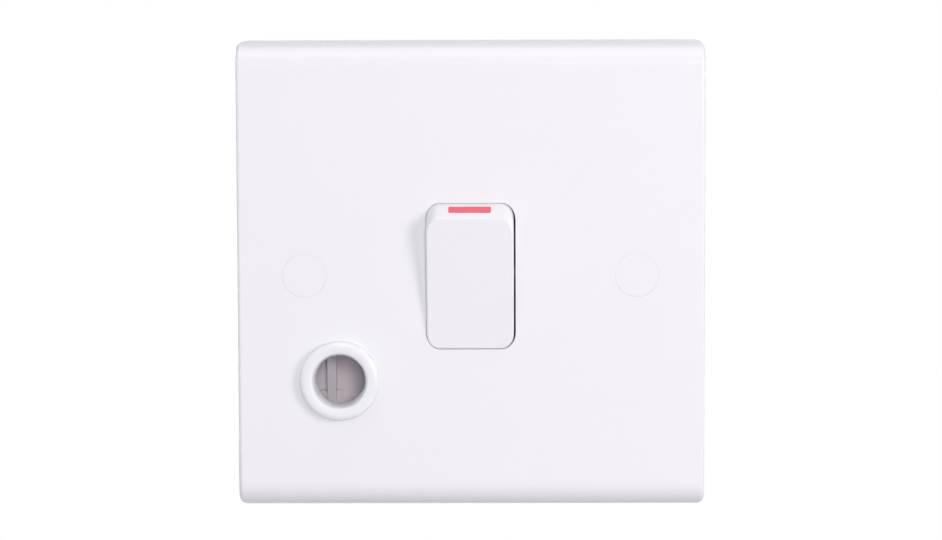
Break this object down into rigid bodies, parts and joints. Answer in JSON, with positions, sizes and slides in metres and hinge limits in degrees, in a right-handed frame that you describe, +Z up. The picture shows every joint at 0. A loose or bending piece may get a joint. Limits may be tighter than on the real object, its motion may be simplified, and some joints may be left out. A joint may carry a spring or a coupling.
{
  "type": "double pole switch",
  "caption": "Square white wall switch that breaks both poles, with a rocker, a red flash that shows while it is on, and a round cord outlet at the lower left.",
  "frame": {"origin": "midway between the two fixing holes, in the wall plane (the plate's back rim)", "axes": "+X right as seen from the front, +Y into the wall, +Z up"},
  "size_m": [0.085, 0.0316, 0.085],
  "materials": {
    "plate_white": "gloss",
    "rocker_white": "gloss",
    "cap_white": "gloss",
    "bush_white": "gloss",
    "flash_red": "gloss",
    "housing_plastic": "fine moulded texture",
    "clamp_plastic": "fine moulded texture",
    "plunger_plastic": "smooth",
    "terminal_brass": "machined, slightly dull",
    "terminal_screw_brass": "turned",
    "arm_copper": "rolled strip",
    "contact_silver": "satin",
    "spring_steel": "drawn wire",
    "screw_steel": "bright zinc plate"
  },
  "bodies": {
    "plate": {"front_plate": "plate_white", "outlet_bush": "bush_white", "screw_cap_left": "cap_white", "screw_cap_right": "cap_white", "rear_housing": "housing_plastic", "earth_terminal": "terminal_brass", "terminal_screws": "terminal_screw_brass", "housing_screws": "screw_steel", "supply_terminal_live": "terminal_brass", "supply_terminal_neutral": "terminal_brass", "load_terminal_live": "terminal_brass", "load_terminal_neutral": "terminal_brass", "fixed_contact_live": "contact_silver", "fixed_contact_neutral": "contact_silver"},
    "rocker": {"rocker": "rocker_white", "indicator_flash": "flash_red", "plunger_spring_live": "spring_steel", "plunger_spring_neutral": "spring_steel"},
    "plunger_live": {"plunger_live": "plunger_plastic"},
    "plunger_neutral": {"plunger_neutral": "plunger_plastic"},
    "arm_live": {"contact_arm_live": "arm_copper", "moving_contact_live": "contact_silver"},
    "arm_neutral": {"contact_arm_neutral": "arm_copper", "moving_contact_neutral": "contact_silver"},
    "cord_clamp": {"cord_clamp_bar": "clamp_plastic", "cord_clamp_screws": "screw_steel"}
  },
  "joints": [
    {"name": "rocker_tilt", "type": "hinge", "parent": "plate", "child": "rocker", "pos_m": [0, -0.0012, -0.00023], "axis": [-1, 0, 0], "range_deg": [0, 15]},
    {"name": "plunger_live_slide", "type": "slide", "parent": "rocker", "child": "plunger_live", "axis": [0, -0.9914, -0.1305], "range_m": [0, 0.0012], "stiffness_N_per_m": 600, "springref_m": -0.002, "deforming": ["plunger_spring_live"]},
    {"name": "plunger_neutral_slide", "type": "slide", "parent": "rocker", "child": "plunger_neutral", "axis": [0, -0.9914, -0.1305], "range_m": [0, 0.0012], "stiffness_N_per_m": 600, "springref_m": -0.002, "deforming": ["plunger_spring_neutral"]},
    {"name": "contact_arm_live_tilt", "type": "hinge", "parent": "plate", "child": "arm_live", "pos_m": [0, 0.01375, -0.00023], "axis": [1, 0, 0], "range_deg": [0, 13.5]},
    {"name": "contact_arm_neutral_tilt", "type": "hinge", "parent": "plate", "child": "arm_neutral", "pos_m": [0, 0.01375, -0.00023], "axis": [1, 0, 0], "range_deg": [0, 13.5]},
    {"name": "cord_clamp_slide", "type": "slide", "parent": "plate", "child": "cord_clamp", "axis": [0, -1, 0], "range_m": [0, 0.002]}
  ],
  "couplings": [
    {"joint": "contact_arm_live_tilt", "follows": "rocker_tilt", "ratio": 0.9},
    {"joint": "contact_arm_neutral_tilt", "follows": "rocker_tilt", "ratio": 0.9}
  ]
}
